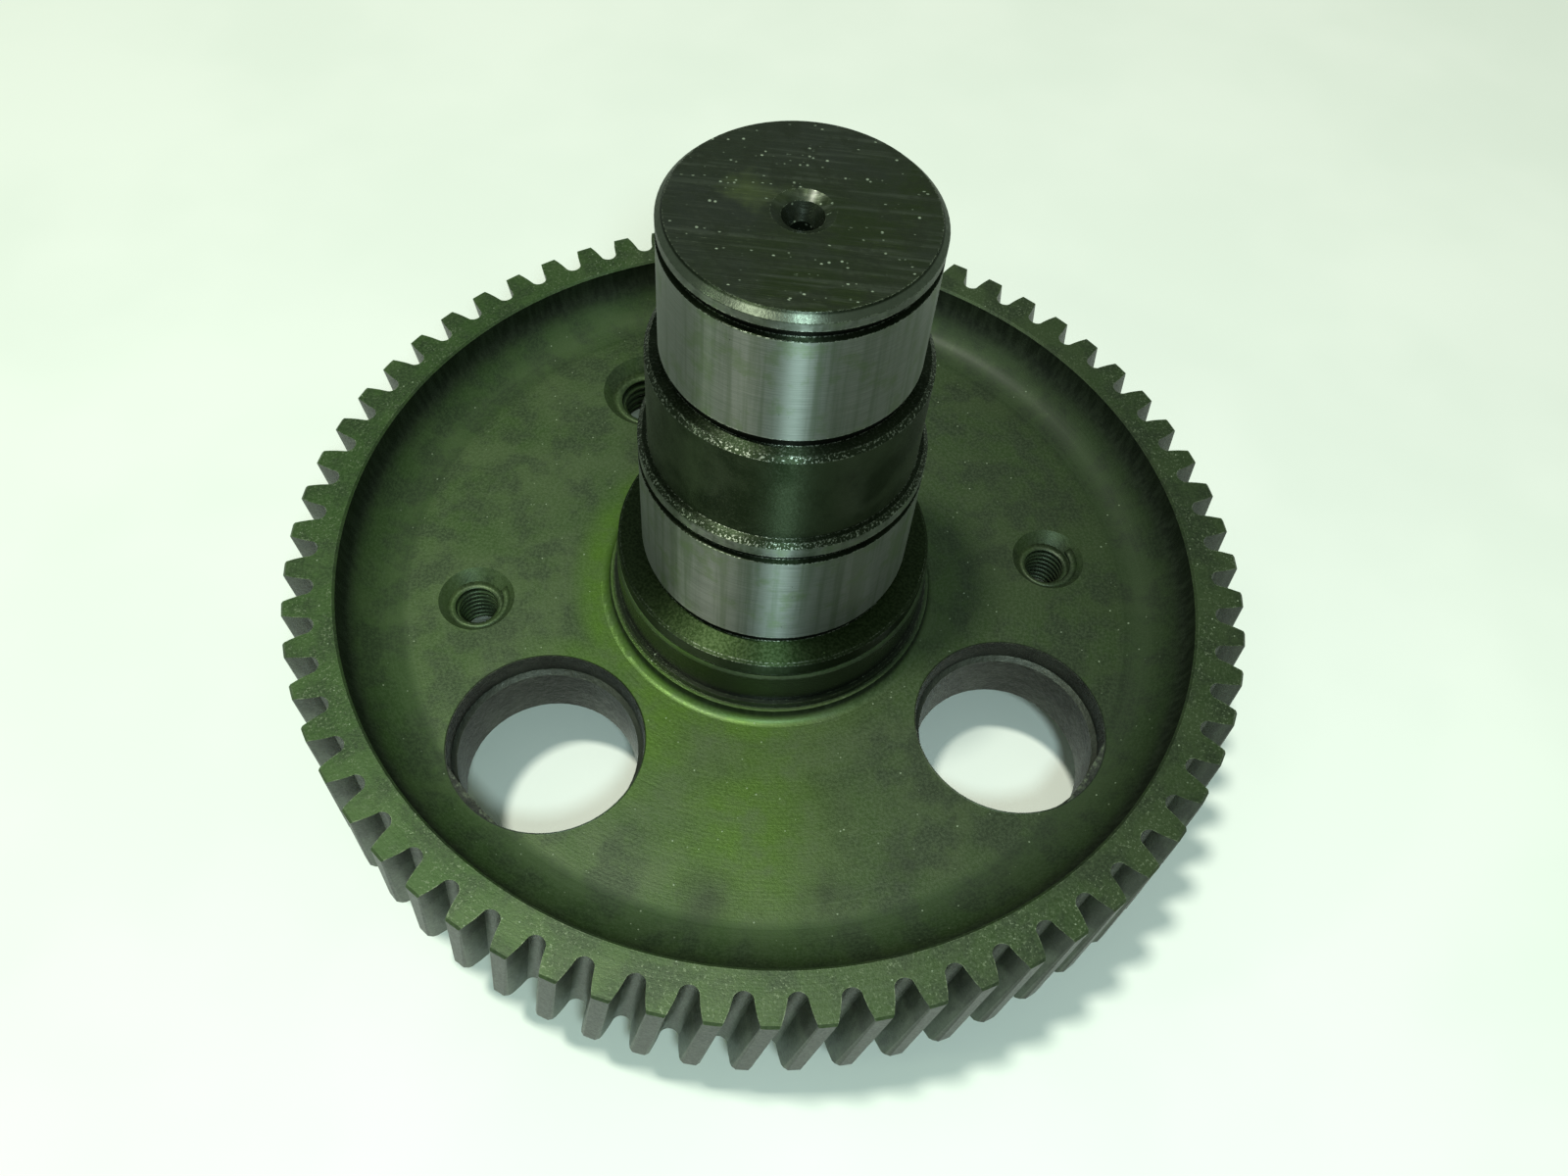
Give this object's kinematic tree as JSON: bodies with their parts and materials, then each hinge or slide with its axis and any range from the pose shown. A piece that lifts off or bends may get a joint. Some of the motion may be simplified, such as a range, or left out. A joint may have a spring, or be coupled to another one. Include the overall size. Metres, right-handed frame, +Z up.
{
  "type": "helical gear on shaft",
  "caption": "Toothed helical wheel with a recessed web, two large web holes and tapped puller holes, pressed and keyed on a stepped stub shaft with a collar and ring grooves.",
  "frame": {"origin": "centre of the shaft's lower end face, on the axis", "axes": "+Z up the shaft away from the wheel; -Y towards the two large web holes"},
  "size_m": [0.165, 0.165, 0.1126],
  "materials": {
    "machined_forging": "turned and oily, dull grey-green",
    "ground_steel": "ground bright on the journals, rough and oily between",
    "key_steel": "cold drawn"
  },
  "bodies": {
    "root": {"gear_wheel": "machined_forging", "stub_shaft": "ground_steel", "hub_key": "key_steel"}
  },
  "joints": []
}
